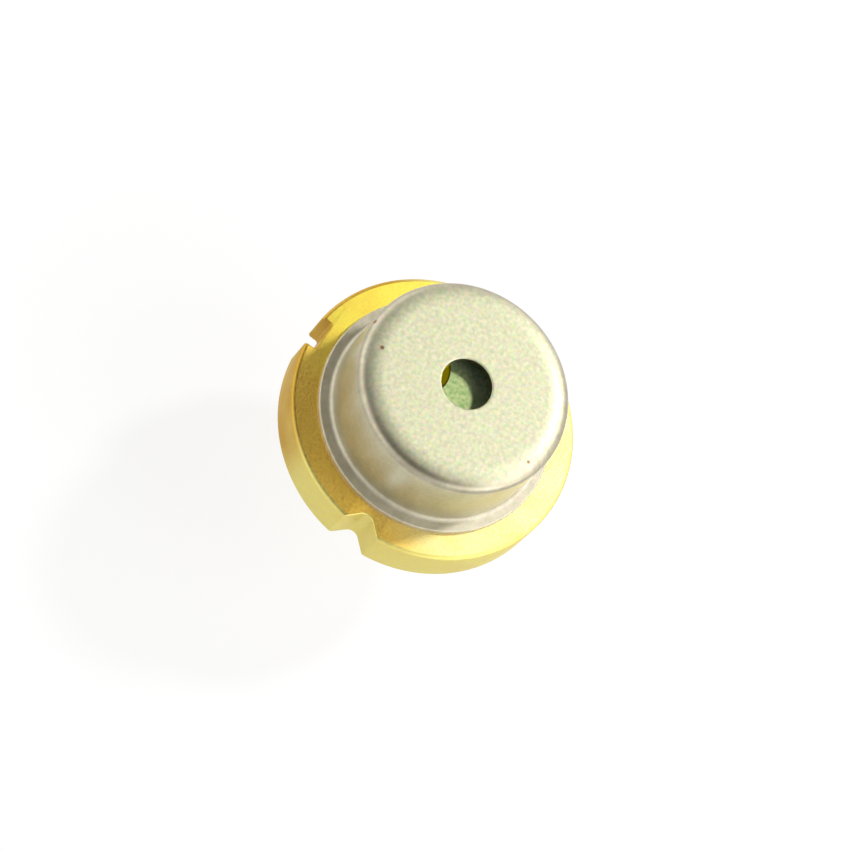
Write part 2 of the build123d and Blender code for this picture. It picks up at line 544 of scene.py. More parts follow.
# Drawn nickel gives the eye a cream blasted top with a sandy speckle, and satin walls with faint upright
# blotches from the draw. The die burnishes the skin of the sheet, and the coat stands for that: it gives
# the narrow white highlight along the crown. The blasted pits are drawn coarser than they are, to show.
@dataclass(frozen=True)
class DrawnNickel(Finish):
    """Deep-drawn nickel sheet, blasted on top."""

    name: str = "drawn_nickel_sheet"
    colour: str = "#c6c2a5"
    metallic: float = 1.0
    roughness: float = 0.42
    coat: float = 0.6
    coat_roughness: float = 0.28
    roughness_swing: float = 0.03
    bend_colour: str = "#aca48c"
    bend_roughness: float = 0.4
    bend_height: float = 2.46
    bend_band: float = 0.1
    brim_colour: str = "#c5bea9"
    brim_roughness: float = 0.64
    brim_height: float = 0.25
    foot_height: float = 0.5
    top_colour: str = "#c6c5a6"
    top_roughness: float = 0.56
    top_from: float = 2.73
    top_to: float = 2.849
    grain: Grain = Grain(0.08, 2.0)
    grain_height_mm: float = 0.002
    side_relief: float = 0.15
    fleck: Grain = Grain(0.13)
    fleck_hue: float = 0.55
    top_fleck: float = 1.0
    side_fleck: float = 0.5
    blotch: Grain = Grain(0.5, 5.0)
    blotch_length: float = 3.0
    blotch_share: float = 0.5
    dirt_colour: str = "#7a4a1c"
    dirt_share: float = 0.85
    dirt_core: float = 0.5
    specks: tuple[DirtSpeck, ...] = (
        DirtSpeck((0.69, -2.66, 2.86), 0.085),
        DirtSpeck((0.89, 2.78, 2.86), 0.08),
        DirtSpeck((0.03, -3.25, 2.645), 0.09),
    )

    def dress(self, tree: Tree, place: Node) -> Links:
        """Adds the matt top with its speckle, the wall's blotches, and the specks of dirt.

        Args:
            tree: The material's tree.
            place: The node that gives the place on the piece, in millimetres.

        Returns:
            What feeds the shader's colour, roughness and normal.
        """
        height = add_node(tree, "SeparateXYZ", links={0: place}).outputs["Z"]
        zones = (
            {**SMOOTH, "From Min": self.top_from, "From Max": self.top_to},
            {"From Min": self.bend_height, "From Max": self.bend_height + self.bend_band},
            {"From Min": self.foot_height, "From Max": self.brim_height},
        )
        top, bend, brim = (add_node(tree, "MapRange", zone, {"Value": height}) for zone in zones)
        length = {"operation": "MULTIPLY", 1: (1.0, 1.0, 1 / self.blotch_length)}
        drawn_out = add_node(tree, "VectorMath", length, {0: place})
        grain, tone, blotch = (
            add_node(tree, "TexNoise", pattern.settings, {"Vector": vector})
            for pattern, vector in ((self.grain, place), (self.fleck, place), (self.blotch, drawn_out))
        )
        wall = {**COLOURS, Mix.FROM: linear(self.colour), Mix.TO: linear(self.bend_colour)}
        tint = add_node(tree, "Mix", wall, {Mix.SHARE: bend})
        foot = {**COLOURS, Mix.TO: linear(self.brim_colour)}
        tint = add_node(tree, "Mix", foot, {Mix.SHARE: brim, Mix.FROM: tint})
        blotched = {**SOFT_LIGHT, Mix.SHARE: self.blotch_share}
        tint = add_node(tree, "Mix", blotched, {Mix.FROM: tint, Mix.TO: blotch})
        blasted = {**COLOURS, Mix.TO: linear(self.top_colour)}
        tint = add_node(tree, "Mix", blasted, {Mix.SHARE: top, Mix.FROM: tint})
        flecks = {"To Min": self.side_fleck, "To Max": self.top_fleck}
        speckle = add_node(tree, "MapRange", flecks, {"Value": top})
        hues = {Mix.FROM: tone, Mix.TO: tone.outputs["Color"]}
        hue = add_node(tree, "Mix", {**COLOURS, Mix.SHARE: self.fleck_hue}, hues)
        tint = add_node(tree, "Mix", SOFT_LIGHT, {Mix.SHARE: speckle, Mix.FROM: tint, Mix.TO: hue})
        for speck in self.specks:
            away = add_node(tree, "VectorMath", {"operation": "DISTANCE", 1: speck.middle}, {0: place})
            core = speck.radius * self.dirt_core
            reach = {"From Min": speck.radius, "From Max": core, "To Max": self.dirt_share}
            cover = add_node(tree, "MapRange", reach, {"Value": away})
            dirt = {**COLOURS, Mix.TO: linear(self.dirt_colour)}
            tint = add_node(tree, "Mix", dirt, {Mix.SHARE: cover, Mix.FROM: tint})
        rough = add_node(tree, "MapRange", self.swing(self.roughness_swing), {"Value": blotch})
        by_zone = ((bend, self.bend_roughness), (brim, self.brim_roughness), (top, self.top_roughness))
        for share, value in by_zone:
            rough = add_node(tree, "Mix", {Mix.TO_VALUE: value}, {Mix.SHARE: share, Mix.FROM_VALUE: rough})
        relief = add_node(tree, "MapRange", {"To Min": self.side_relief}, {"Value": top})
        depth = {"Distance": self.grain_height_mm * MM}
        bump = add_node(tree, "Bump", depth, {"Height": grain, "Strength": relief})
        return {"Base Color": tint, "Roughness": rough, "Normal": bump}


# Polished glass gives the eye nothing but a faint gloss and a trace of dust, so what lies under it shows.
# The dust is drawn coarser than it is, to show. The gold solder that has run onto the glass shows as a
# bright sliver, whose dark rim is painted shade that makes its edge look rounded.
@dataclass(frozen=True)
class PolishedGlass(Finish):
    """Polished window glass with a run of gold solder at one side of the aperture, with a painted-shade
    rim.
    """

    name: str = "polished_window_glass"
    colour: str = "#dcebd6"
    metallic: float = 0.0
    roughness: float = 0.04
    ior: float = 1.52
    dust: Grain = Grain(0.12)
    dust_from: float = 0.4
    dust_to: float = 0.8
    clean_cover: float = 0.01
    dust_cover: float = 0.04
    solder_colour: str = "#dbc50d"
    solder_painted_shade_colour: str = "#3a2e06"
    solder_roughness: float = 0.2
    solder_middle: Place = (0.275, -1.3, 2.66)
    solder_radius: float = 0.81
    solder_painted_shade_width: float = 0.08

    def dress(self, tree: Tree, place: Node) -> Links:
        """Makes the glass see-through, with a little dust, and adds the solder that has run onto it.

        Args:
            tree: The material's tree.
            place: The node that gives the place on the piece, in millimetres.

        Returns:
            What feeds the shader's colour, metallic, roughness and alpha.
        """
        dust = add_node(tree, "TexNoise", self.dust.settings, {"Vector": place})
        dusting = {
            "From Min": self.dust_from,
            "From Max": self.dust_to,
            "To Min": self.clean_cover,
            "To Max": self.dust_cover,
        }
        clear = add_node(tree, "MapRange", dusting, {"Value": dust})
        away = add_node(tree, "VectorMath", {"operation": "DISTANCE", 1: self.solder_middle}, {0: place})
        solder = add_node(tree, "Math", {"operation": "LESS_THAN", 1: self.solder_radius}, {0: away})
        # Painted shade: the solder darkens at its rim so that the edge looks rounded
        edge = {"From Min": self.solder_radius - self.solder_painted_shade_width, "From Max": self.solder_radius}
        rounded = add_node(tree, "MapRange", edge, {"Value": away})
        metal = {**COLOURS, Mix.FROM: linear(self.solder_colour), Mix.TO: linear(self.solder_painted_shade_colour)}
        gold = add_node(tree, "Mix", metal, {Mix.SHARE: rounded})
        pane = {**COLOURS, Mix.FROM: linear(self.colour)}
        tint = add_node(tree, "Mix", pane, {Mix.SHARE: solder, Mix.TO: gold})
        gloss = {"To Min": self.roughness, "To Max": self.solder_roughness}
        rough = add_node(tree, "MapRange", gloss, {"Value": solder})
        cover = add_node(tree, "Math", {"operation": "MAXIMUM"}, {0: clear, 1: solder})
        return {"Base Color": tint, "Metallic": solder, "Roughness": rough, "Alpha": cover}


@dataclass(frozen=True)
class Mottled(Finish):
    """A finish whose colour drifts between two tones."""

    other_colour: str = "#000000"
    mottle: Grain = Grain(0.1)
    mottle_from: float = 0.35
    mottle_to: float = 0.7

    def dress(self, tree: Tree, place: Node) -> Links:
        """Adds the drift of colour.

        Args:
            tree: The material's tree.
            place: The node that gives the place on the piece, in millimetres.

        Returns:
            What feeds the shader's colour.
        """
        noise = add_node(tree, "TexNoise", self.mottle.settings, {"Vector": place})
        span = {"From Min": self.mottle_from, "From Max": self.mottle_to}
        share = add_node(tree, "MapRange", span, {"Value": noise})
        tones = {**COLOURS, Mix.FROM: linear(self.colour), Mix.TO: linear(self.other_colour)}
        return {"Base Color": add_node(tree, "Mix", tones, {Mix.SHARE: share})}


# Sheared nickel gives the eye a dull wall; the dark colour of the aperture's wall is painted shade. Its
# marks are drawn coarser than they are, to show.
@dataclass(frozen=True)
class PiercedNickel(Mottled):
    """The sheared wall of the aperture, darkened with painted shade and unevenly mottled."""

    name: str = "pierced_nickel_edge"
    colour: str = "#57533c"
    metallic: float = 1.0
    roughness: float = 0.45
    other_colour: str = "#6d6950"
    mottle: Grain = Grain(0.06)
    mottle_from: float = 0.0
    mottle_to: float = 1.0


# A vapour-deposited film gives the eye a satin green mirror with a cloudy mottle, a tenth of a millimetre
# across
@dataclass(frozen=True)
class FilmOnGlass(Mottled):
    """Vapour-deposited green film on the window's underside."""

    name: str = "green_film_on_glass"
    colour: str = "#bcc58c"
    metallic: float = 1.0
    roughness: float = 0.56
    other_colour: str = "#87aa6b"
    mottle: Grain = Grain(0.11)


# Glass that was melted in place gives the eye a dark gloss with flow marks and small bubbles. The bubbles
# are drawn larger than they are, to show.
@dataclass(frozen=True)
class FusedGlass(Mottled):
    """Sealing glass that was melted in place."""

    name: str = "fused_sealing_glass"
    colour: str = "#1f2a27"
    metallic: float = 0.0
    roughness: float = 0.14
    ior: float = 1.55
    other_colour: str = "#3d4a44"
    mottle: Grain = Grain(0.22)
    mottle_from: float = 0.4
    mottle_to: float = 0.75
    bubble_mm: float = 0.05
    bubble_height_mm: float = 0.004
    bubble_strength: float = 0.4

    def dress(self, tree: Tree, place: Node) -> Links:
        """Adds flow marks in the colour and bubbles in the surface.

        Args:
            tree: The material's tree.
            place: The node that gives the place on the piece, in millimetres.

        Returns:
            What feeds the shader's colour and normal.
        """
        bubble = add_node(tree, "TexVoronoi", {"Scale": 1 / self.bubble_mm}, {"Vector": place})
        depth = {"Strength": self.bubble_strength, "Distance": self.bubble_height_mm * MM}
        bump = add_node(tree, "Bump", depth, {"Height": bubble})
        return {**super().dress(tree, place), "Normal": bump}


# A sawn or cleaved tile gives the eye an even colour with a slight gloss. Its grain is a few thousandths
# of a millimetre and is drawn several times coarser, to show.
@dataclass(frozen=True)
class SawnDie(Mottled):
    """A sawn or cleaved semiconductor or ceramic tile."""

    name: str = "sawn_die"
    colour: str = "#3a3b40"
    metallic: float = 0.0
    roughness: float = 0.25
    other_colour: str = "#2a2b33"
    mottle: Grain = Grain(0.04, 4.0)
    smoothest: float = 0.8
    roughest: float = 1.25

    def dress(self, tree: Tree, place: Node) -> Links:
        """Adds the grain to colour and gloss.

        Args:
            tree: The material's tree.
            place: The node that gives the place on the piece, in millimetres.

        Returns:
            What feeds the shader's colour and roughness.
        """
        grain = add_node(tree, "TexNoise", self.mottle.settings, {"Vector": place})
        gloss = {"To Min": self.roughness * self.smoothest, "To Max": self.roughness * self.roughest}
        rough = add_node(tree, "MapRange", gloss, {"Value": grain})
        return {**super().dress(tree, place), "Roughness": rough}


def hand_over(piece: bpy.types.Object, node: str, slot: Slot, *finishes: Finish) -> None:
    """Dresses a piece, sets it on the body and lets it stand for its CAD node.

    Args:
        piece: The new piece.
        node: The CAD node that it replaces.
        slot: The record's slot for the piece; not used.
        finishes: Its finishes, in the order of the numbers that its faces carry.
    """
    for finish in finishes:
        piece.data.materials.append(finish.material())
    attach(piece, BODY)
    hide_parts(node)
    log.info("%s stands for %s with %d faces", piece.name, node, len(piece.data.polygons))


@dataclass
class Stem:
    """The gold-plated flange with its locating notches, its glass beads and its three leads."""

    notch_width: float = 1.22
    notch_root_radius: float = 0.3
    slot_width: float = 1.0
    slot_depth: float = 0.4
    slot_corner_radius: float = 0.1
    rim_round: float = 0.12
    notch_round: float = 0.04
    corner_round: float = 0.05
    round_steps: int = 6
    rim_steps: int = 64
    bead_meniscus: float = 0.03
    bead_steps: int = 10
    bead_segments: int = 96
    lead_tip: float = 0.06
    post_round: float = 0.02
    bond_flat_cut: float = 0.08
    bond_flat_foot: float = 0.4
    head_edge: float = 0.04
    head_height: float = 0.12
    lead_segments: int = 48

    def __post_init__(self) -> None:
        """Reads the flange's size from the frame."""
        flange = box_mm("stem_flange")
        self.radius = flange.high.y
        self.thickness = flange.high.z - flange.low.z
        half = self.notch_width / 2
        self.notch_apex = math.sqrt(self.radius**2 - half**2) - half

    def notch_path(self, rim: float, wider: float) -> Profile:
        """One side of a V-notch, from the middle of its root out to the rim.

        Args:
            rim: The rim's radius at this level.
            wider: How far the notch's edge is rounded back at this level.

        Returns:
            The points, in a frame with x outward through the notch.
        """
        centre = self.notch_apex + self.notch_root_radius * math.sqrt(2)
        root = arc((centre, 0), self.notch_root_radius + wider, 180, 135, self.round_steps)
        x, y = root[-1]
        reach = (math.sqrt((x + y) ** 2 - 2 * (x * x + y * y - rim * rim)) - (x + y)) / 2
        return root + self.bend((x, y), (x + reach, y + reach), rim)

    def slot_path(self, rim: float, wider: float) -> Profile:
        """One side of the square slot, from the middle of its floor out to the rim.

        Args:
            rim: The rim's radius at this level.
            wider: How far the slot's edge is rounded back at this level.

        Returns:
            The points, in a frame with x outward through the slot.
        """
        floor_corner = self.radius - self.slot_depth + self.slot_corner_radius
        side_corner = self.slot_width / 2 - self.slot_corner_radius
        floor = arc((floor_corner, side_corner), self.slot_corner_radius + wider, 180, 90, self.round_steps)
        x, y = floor[-1]
        return [(floor[0][0], 0.0)] + floor + self.bend((x, y), (math.sqrt(rim * rim - y * y), y), rim)

    def bend(self, start: Point, corner: Point, rim: float) -> Profile:
        """Rounds the corner between a notch's side and the rim.

        Args:
            start: Where the notch's straight side begins.
            corner: Where it would meet the rim.
            rim: The rim's radius.

        Returns:
            Points from the side, through the rounded corner, to the rim.
        """
        peak = Vector(corner)
        inward = peak + (Vector(start) - peak).normalized() * self.corner_round
        turn = math.atan2(corner[1], corner[0]) + self.corner_round / rim
        outward = Vector((rim * math.cos(turn), rim * math.sin(turn)))
        shares = [i / self.round_steps for i in range(self.round_steps + 1)]
        curve = [inward * (1 - t) ** 2 + peak * 2 * t * (1 - t) + outward * t * t for t in shares]
        return [(p.x, p.y) for p in curve]

    def outline(self, rim: float, wider: float) -> Profile:
        """The flange's outline at one level, anticlockwise, with its three cut-outs.

        Args:
            rim: The rim's radius at this level.
            wider: How far the cut-outs' edges are rounded back at this level.

        Returns:
            The outline's points, as many at every level.
        """
        notch, slot = self.notch_path(rim, wider), self.slot_path(rim, wider)
        # The first notch comes again at the end, to close the round
        cut_outs = ((0.0, notch), (math.pi, notch), (1.5 * math.pi, slot), (2 * math.pi, notch))
        spread = [(turn, path, math.atan2(path[-1][1], path[-1][0])) for turn, path in cut_outs]
        points: Profile = []
        for (turn, path, half), (after, _, next_half) in zip(spread, spread[1:]):
            sides = [(x, -y) for x, y in reversed(path)] + path[1:]
            cos, sin = math.cos(turn), math.sin(turn)
            points += [(x * cos - y * sin, x * sin + y * cos) for x, y in sides]
            start, end = math.degrees(turn + half), math.degrees(after - next_half)
            points += arc((0, 0), rim, start, end, self.rim_steps)[1:-1]
        return points

    def levels(self) -> list[tuple[float, float, float]]:
        """Works out the levels that round the rim and the edges of the cut-outs.

        Returns:
            Height, rim radius and notch rounding of each level, from the back face to the front face.
        """
        made = []
        for step in range(self.round_steps + 1):
            turn = math.pi / 2 * step / self.round_steps
            below = self.rim_round * (1 - math.sin(turn))
            rim = self.radius - self.rim_round * (1 - math.cos(turn))
            rise = max(self.notch_round - below, 0.0)
            wider = self.notch_round - math.sqrt(self.notch_round**2 - rise**2)
            made.append((below, rim, wider))
        front = [(-below, rim, wider) for below, rim, wider in made]
        back = [(below - self.thickness, rim, wider) for below, rim, wider in reversed(made)]
        return back + front

    def build_flange(self) -> bpy.types.Object:
        """Makes the flange with its rounded rim, its cut-outs and its two bead holes.

        Returns:
            The flange, with its rim as the second finish.
        """
        draft = MeshDraft()
        rings = []
        for height, rim, wider in self.levels():
            rings.append(draft.ring((x, y, height) for x, y in self.outline(rim, wider)))
        for below, above in zip(rings, rings[1:]):
            draft.bridge(below, above, finish=1)
        holes: dict[float, list[list[int]]] = {0.0: [], -self.thickness: []}
        for node in ("laser_lead_glass", "monitor_lead_glass"):
            bead = box_mm(node)
            edge = circle((bead.middle.x, bead.middle.y), bead.radius, self.bead_segments)
            walls = [draft.ring((x, y, height) for x, y in edge) for height in holes]
            draft.bridge(*walls)
            for height, wall in zip(holes, walls):
                holes[height].append(wall)
        draft.cover([rings[-1], *holes[0.0]], True)
        draft.cover([rings[0], *holes[-self.thickness]], False)
        return draft.piece("gold_stem_flange")

    def build_bead(self, node: str, name: str, lead: str) -> bpy.types.Object:
        """Makes one glass bead, with a meniscus at the lead and at its hole.

        Args:
            node: The bead's CAD node.
            name: The new piece's name.
            lead: The CAD node of the lead in it.

        Returns:
            The bead.
        """
        bead = box_mm(node)
        inner, outer = box_mm(lead).radius, bead.radius
        draft = MeshDraft(place=Matrix.Translation((bead.middle.x, bead.middle.y, 0)))
        shares = [i / self.bead_steps for i in range(self.bead_steps + 1)]
        across = [(inner + (outer - inner) * t, self.bead_meniscus * (2 * t - 1) ** 2) for t in shares]
        back = [(radius, bead.low.z - creep) for radius, creep in across]
        front = [(radius, bead.high.z + creep) for radius, creep in reversed(across)]
        draft.turn(back + front, self.bead_segments, closed=True)
        return draft.piece(name)

    def tip(self, radius: float, end: float) -> Profile:
        """The rounded free end of a lead, from its flat out to its side.

        Args:
            radius: The lead's radius.
            end: The height of its end.

        Returns:
            The points of the rounding.
        """
        middle = (radius - self.lead_tip, end + self.lead_tip)
        return arc(middle, self.lead_tip, 270, 360, self.round_steps)

    def build_lead(self, node: str, name: str, flat: bool = False) -> bpy.types.Object:
        """Makes a straight lead with a rounded tip.

        Args:
            node: The lead's CAD node.
            name: The new piece's name.
            flat: Whether its inner end has a coined bond flat.

        Returns:
            The lead.
        """
        box = box_mm(node)
        radius, end, head = box.radius, box.low.z, box.high.z
        draft = MeshDraft(place=Matrix.Translation((box.middle.x, box.low.y + radius, 0)))
        tip = self.tip(radius, end)
        corner = (radius - self.post_round, head - self.post_round)
        top = arc(corner, self.post_round, 0, 90, self.round_steps)
        if not flat:
            draft.turn([(0.0, end), *tip, *top, (0.0, head)], self.lead_segments)
            return draft.piece(name)
        limit = radius - self.bond_flat_cut
        heights = [(r, z, radius) for r, z in tip] + [(radius, self.bond_flat_foot, radius)]
        heights += [(radius, self.bond_flat_foot, limit)] + [(r, z, limit) for r, z in top]
        spokes = circle((0, 0), 1, self.lead_segments)
        draft.skin([draft.ring((r * x, min(r * y, most), z) for x, y in spokes) for r, z, most in heights])
        return draft.piece(name)

    def build_case_lead(self) -> bpy.types.Object:
        """Makes the lead that is welded to the flange's back by its flat head.

        Returns:
            The lead.
        """
        box = box_mm("case_lead")
        head, end = box.radius, box.low.z
        radius = box_mm("monitor_lead").radius
        under = box.high.z - self.head_height
        draft = MeshDraft(place=Matrix.Translation((0, box.low.y + head, 0)))
        curve, steps = self.head_edge, self.round_steps
        neck = arc((radius + curve, under - curve), curve, 180, 90, steps)
        edge = arc((head - curve, under + curve), curve, 270, 360, steps)
        weld = [(head, box.high.z), (0.0, box.high.z)]
        draft.turn([(0.0, end), *self.tip(radius, end), *neck, *edge, *weld], self.lead_segments)
        return draft.piece("case_lead_pin")

    def build(self) -> None:
        """Makes and dresses the stem's pieces."""
        # Plate on a tumbled stamping: satin, paler towards +Y as painted glare, browner at one side as a
        # painted cap shadow
        face = PlatedGold(colour="#ded396", painted_shadow_share=1.0, fleck=0.9)
        # Plate on the sheared edge: a duller gold with a coarser grain, with painted shade that browns it
        # towards the slot
        rim = PlatedGold(
            name="gold_plate_on_sheared_rim",
            colour="#e2d57e",
            painted_dim_colour="#c69e3b",
            painted_dim_from=-2.2,
            painted_dim_to=-3.4,
            thin_colour="#ddc66f",
            grain=Grain(0.13),
            fleck=0.45,
        )
        # Plate on drawn wire: smoother, so that each lead carries a bright streak along its side
        lead = PlatedGold(name="gold_plate_on_drawn_wire", roughness=0.34, grain=Grain(0.05))
        glass = FusedGlass()
        hand_over(self.build_flange(), "stem_flange", Slot.FLANGE, face, rim)
        hand_over(self.build_lead("laser_lead", "laser_lead_pin", flat=True), "laser_lead", Slot.LEAD, lead)
        hand_over(self.build_lead("monitor_lead", "monitor_lead_pin"), "monitor_lead", Slot.LEAD, lead)
        hand_over(self.build_case_lead(), "case_lead", Slot.LEAD, lead)
        for side in ("laser", "monitor"):
            bead = self.build_bead(f"{side}_lead_glass", f"{side}_glass_bead", f"{side}_lead")
            hand_over(bead, f"{side}_lead_glass", Slot.BEAD, glass)


@dataclass
class Cap:
    """The drawn cap with its window and the ring of solder glass that holds it."""

    sheet: float = 0.2
    wall_radius: float = 3.3
    top_radius: float = 0.4
    crown_width: float = 0.78
    crown_level: float = 0.226
    crown_depth: float = 0.364
    crown_upright: float = 0.356
    crown_steps: int = 28
    foot_radius: float = 0.15
    brim_round: float = 0.06
    aperture_radius: float = 0.79
    aperture_round: float = 0.05
    sheared_steps: int = 4
    lead_in: float = 0.06
    round_steps: int = 14
    segments: int = 256
    pane_segments: int = 128
    pane_edge: float = 0.03
    seal_dip: float = 0.04

    def crown(self, height: float) -> Profile:
        """The drawn edge of the top, from the wall up to where the top is flat.

        Args:
            height: The height of the flat top.

        Returns:
            Points on a curve that leaves the wall upright and ends level.
        """
        foot = Vector((self.wall_radius, height - self.crown_depth))
        flat = Vector((self.wall_radius - self.crown_width, height))
        upright = foot + Vector((0.0, self.crown_upright))
        level = flat + Vector((self.crown_level, 0.0))
        points = []
        for step in range(self.crown_steps + 1):
            t = step / self.crown_steps
            lower = foot * (1 - t) ** 3 + upright * 3 * t * (1 - t) ** 2
            upper = level * 3 * t * t * (1 - t) + flat * t**3
            points.append(tuple(lower + upper))
        return points

    def build_shell(self) -> bpy.types.Object:
        """Makes the cap as one turned sheet with round bends.

        Returns:
            The cap, with its sheared edge as the second finish.
        """
        high = box_mm("cap_shell").high
        brim, height = high.x, high.z
        ceiling = height - self.sheet
        top_bend = (self.wall_radius - self.top_radius, height - self.top_radius)
        foot_bend = (self.wall_radius + self.foot_radius, self.sheet + self.foot_radius)
        brim_bend = (brim - self.brim_round, self.sheet - self.brim_round)
        hole_bend = (self.aperture_radius + self.aperture_round, height - self.aperture_round)
        crown = self.crown(height)
        outside = [
            *arc(foot_bend, self.foot_radius + self.sheet, 180, 270, self.round_steps),
            (brim, 0.0),
            *arc(brim_bend, self.brim_round, 0, 90, self.round_steps),
            *arc(foot_bend, self.foot_radius, 270, 180, self.round_steps),
            (self.wall_radius, foot_bend[1] + self.lead_in),
            (self.wall_radius, crown[0][1] - self.lead_in),
            *crown,
            (crown[-1][0] - self.lead_in, height),
            (hole_bend[0] + self.lead_in, height),
            *arc(hole_bend, self.aperture_round, 90, 180, self.round_steps),
        ]
        inside = [
            (self.aperture_radius, ceiling),
            *arc(top_bend, self.top_radius - self.sheet, 90, 0, self.round_steps),
        ]
        # The lowest part of the aperture's round edge is sheared, like the wall below it
        # These spans take the wall's painted-shade finish
        sheared = range(len(outside) - 1 - self.sheared_steps, len(outside))
        draft = MeshDraft()
        draft.turn(outside + inside, self.segments, closed=True, other_spans=dict.fromkeys(sheared, 1))
        return draft.piece("nickel_cap")

    def build_window(self) -> bpy.types.Object:
        """Makes the window, a disc with broken edges whose underside has a finish of its own.

        Returns:
            The window, with its underside as the second finish.
        """
        box = box_mm("window_glass")
        low, high, radius, edge = box.low.z, box.high.z, box.high.x, self.pane_edge
        underside = [(0.0, low), (radius - edge, low)]
        rim = [(radius, low + edge), (radius, high - edge), (radius - edge, high), (0.0, high)]
        draft = MeshDraft()
        draft.turn(underside + rim, self.pane_segments, other_spans={0: 1})
        return draft.piece("window_pane")

    def build_seal(self) -> bpy.types.Object:
        """Makes the solder-glass ring with a slightly hollow slope.

        Returns:
            The ring.
        """
        box = box_mm("window_seal_ring")
        window = box_mm("window_glass").high.x
        foot, rim = Vector((window, box.low.z)), Vector((box.high.x, box.high.z))
        normal = Vector((box.high.z - box.low.z, window - box.high.x)).normalized()
        slope = []
        for step in range(self.round_steps + 1):
            share = step / self.round_steps
            slope.append(tuple(foot.lerp(rim, share) - normal * self.seal_dip * 4 * share * (1 - share)))
        draft = MeshDraft()
        draft.turn([*slope, (window, box.high.z)], self.pane_segments, closed=True)
        return draft.piece("window_solder_ring")

    def build(self) -> None:
        """Makes and dresses the cap's pieces."""
        # Solder glass, melted at a lower heat: browner and less glossy than the beads
        solder = FusedGlass(
            name="fused_solder_glass", colour="#2a2822", other_colour="#4a463b", roughness=0.3
        )
        hand_over(self.build_shell(), "cap_shell", Slot.CAP, DrawnNickel(), PiercedNickel())
        hand_over(self.build_window(), "window_glass", Slot.WINDOW, PolishedGlass(), FilmOnGlass())
        hand_over(self.build_seal(), "window_seal_ring", Slot.SEAL, solder)


@dataclass
class ChipMount:
    """The heat-sink block with the submount and the laser chip on it, and the monitor photodiode."""

    front_radius: float = 0.08
    back_radius: float = 0.45
    top_break: float = 0.06
    tile_break: float = 0.012
    pad_height: float = 0.004
    pad_break: float = 0.001
    pad_margin: float = 0.05
    round_steps: int = 8

    def build_block(self) -> bpy.types.Object:
        """Makes the block with its rounded back and broken top edges.

        Returns:
            The block.
        """
        box = box_mm("heatsink_block")
        low, high = box.low, box.high
        levels = []
        for height, inset in ((low.z, 0.0), (high.z - self.top_break, 0.0), (high.z, self.top_break)):
            sides = (low.x + inset, high.x - inset, low.y + inset, high.y)
            rounds = (self.back_radius - inset, self.front_radius)
            levels.append((height, rounded_rectangle(*sides, *rounds, self.round_steps)))
        draft = MeshDraft()
        draft.stack(levels)
        return draft.piece("gold_heatsink_block")

    def build_tile(self, node: str, name: str, pad_on_top: bool) -> bpy.types.Object:
        """Makes a chip or tile with broken edges and a thin metal pad on its bonded face.

        Args:
            node: The CAD node.
            name: The new piece's name.
            pad_on_top: Whether the pad lies on the top face, and not on the front face.

        Returns:
            The tile, with its pad as the second finish.
        """
        box = box_mm(node)
        draft = MeshDraft()
        draft.tile(box.low, box.high, self.tile_break)
        margin = Vector.Fill(3, self.pad_margin)
        low, high = box.low + margin, box.high - margin
        axis = 2 if pad_on_top else 1
        low[axis] = box.high[axis] - self.pad_height
        high[axis] = box.high[axis] + self.pad_height
        draft.tile(low, high, self.pad_break, finish=1)
        return draft.piece(name)

    def build(self) -> None:
        """Makes and dresses the block and the chips."""
        # Plate on machined copper: a little glossier than the stem
        gold = PlatedGold(name="gold_plate_on_machined_copper", roughness=0.4, grain=Grain(0.06))
        # Evaporated gold: thin and even, so it shines like a mirror
        pad = PlatedGold(
            name="evaporated_gold_pad", roughness=0.2, grain=Grain(0.04), grain_height_mm=0.001
        )
        # Sawn nitride ceramic: a matt, pale, stony tile
        ceramic = SawnDie(
            name="sawn_nitride_ceramic", colour="#d5d0bf", other_colour="#b9b4a2", roughness=0.5
        )
        # Cleaved gallium arsenide: dark grey with a metal-like gloss
        arsenide = SawnDie(name="cleaved_gallium_arsenide")
        # Silicon under its passivation: deep blue and glossy
        silicon = SawnDie(
            name="passivated_silicon", colour="#26324a", other_colour="#1a2236", roughness=0.12
        )
        hand_over(self.build_block(), "heatsink_block", Slot.BLOCK, gold)
        tiles = (
            ("submount", "ceramic_submount", False, Slot.SUBMOUNT, ceramic, pad),
            ("laser_chip", "laser_die", False, Slot.LASER, arsenide, pad),
            ("monitor_photodiode", "photodiode_die", True, Slot.PHOTODIODE, silicon, silicon),
        )
        for node, name, pad_on_top, slot, *finishes in tiles:
            hand_over(self.build_tile(node, name, pad_on_top), node, slot, *finishes)


